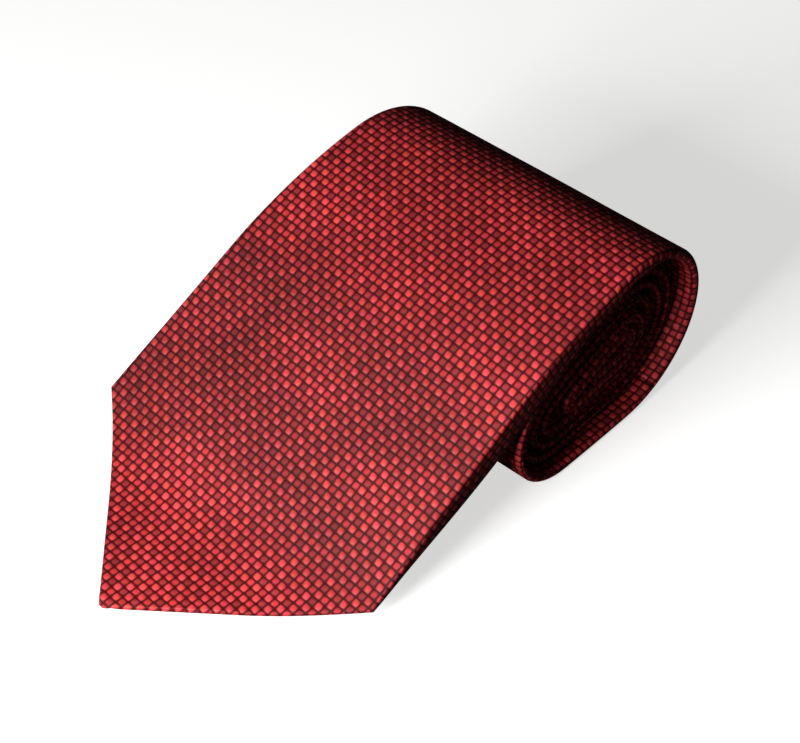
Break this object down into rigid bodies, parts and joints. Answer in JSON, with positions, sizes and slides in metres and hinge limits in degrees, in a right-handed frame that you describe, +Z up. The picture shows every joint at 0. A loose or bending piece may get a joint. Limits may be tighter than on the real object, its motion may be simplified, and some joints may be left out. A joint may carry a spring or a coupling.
{
  "type": "necktie",
  "caption": "Crimson check silk necktie, folded at the neck and rolled up, with its pointed wide blade running off the roll onto the table.",
  "frame": {"origin": "middle of the footprint, on the table that the roll and the blade's tip rest on", "axes": "+X from the blade's tip towards the roll, +Y along the roll, +Z up"},
  "size_m": [0.1494, 0.096, 0.0499],
  "materials": {
    "silk_check": "satin",
    "wool_interlining": "matte",
    "tipping_lining": "satin",
    "thread": "matte",
    "label_cloth": "satin",
    "care_label_cloth": "satin"
  },
  "bodies": {
    "roll": {"blade_shell_rolled": "silk_check", "neck_shell": "silk_check", "tail_shell": "silk_check", "keeper_loop": "silk_check", "blade_interlining_rolled": "wool_interlining", "tail_interlining": "wool_interlining", "tail_tipping": "tipping_lining", "slip_stitch_rolled": "thread", "tail_bar_tack": "thread", "blade_neck_seam": "thread", "neck_tail_seam": "thread", "keeper_loop_tack_left": "thread", "keeper_loop_tack_right": "thread", "blank_label": "label_cloth"},
    "free_blade": {"blade_shell_free": "silk_check", "blade_interlining_free": "wool_interlining", "blade_tipping": "tipping_lining", "slip_stitch_free": "thread", "blade_bar_tack": "thread", "blank_care_label": "care_label_cloth"}
  },
  "joints": [
    {"name": "free_blade_lift", "type": "hinge", "parent": "roll", "child": "free_blade", "pos_m": [0.04941, -0.00507, 0.04994], "axis": [0.084, 0.9965, 0.0012], "range_deg": [0, 60]}
  ]
}
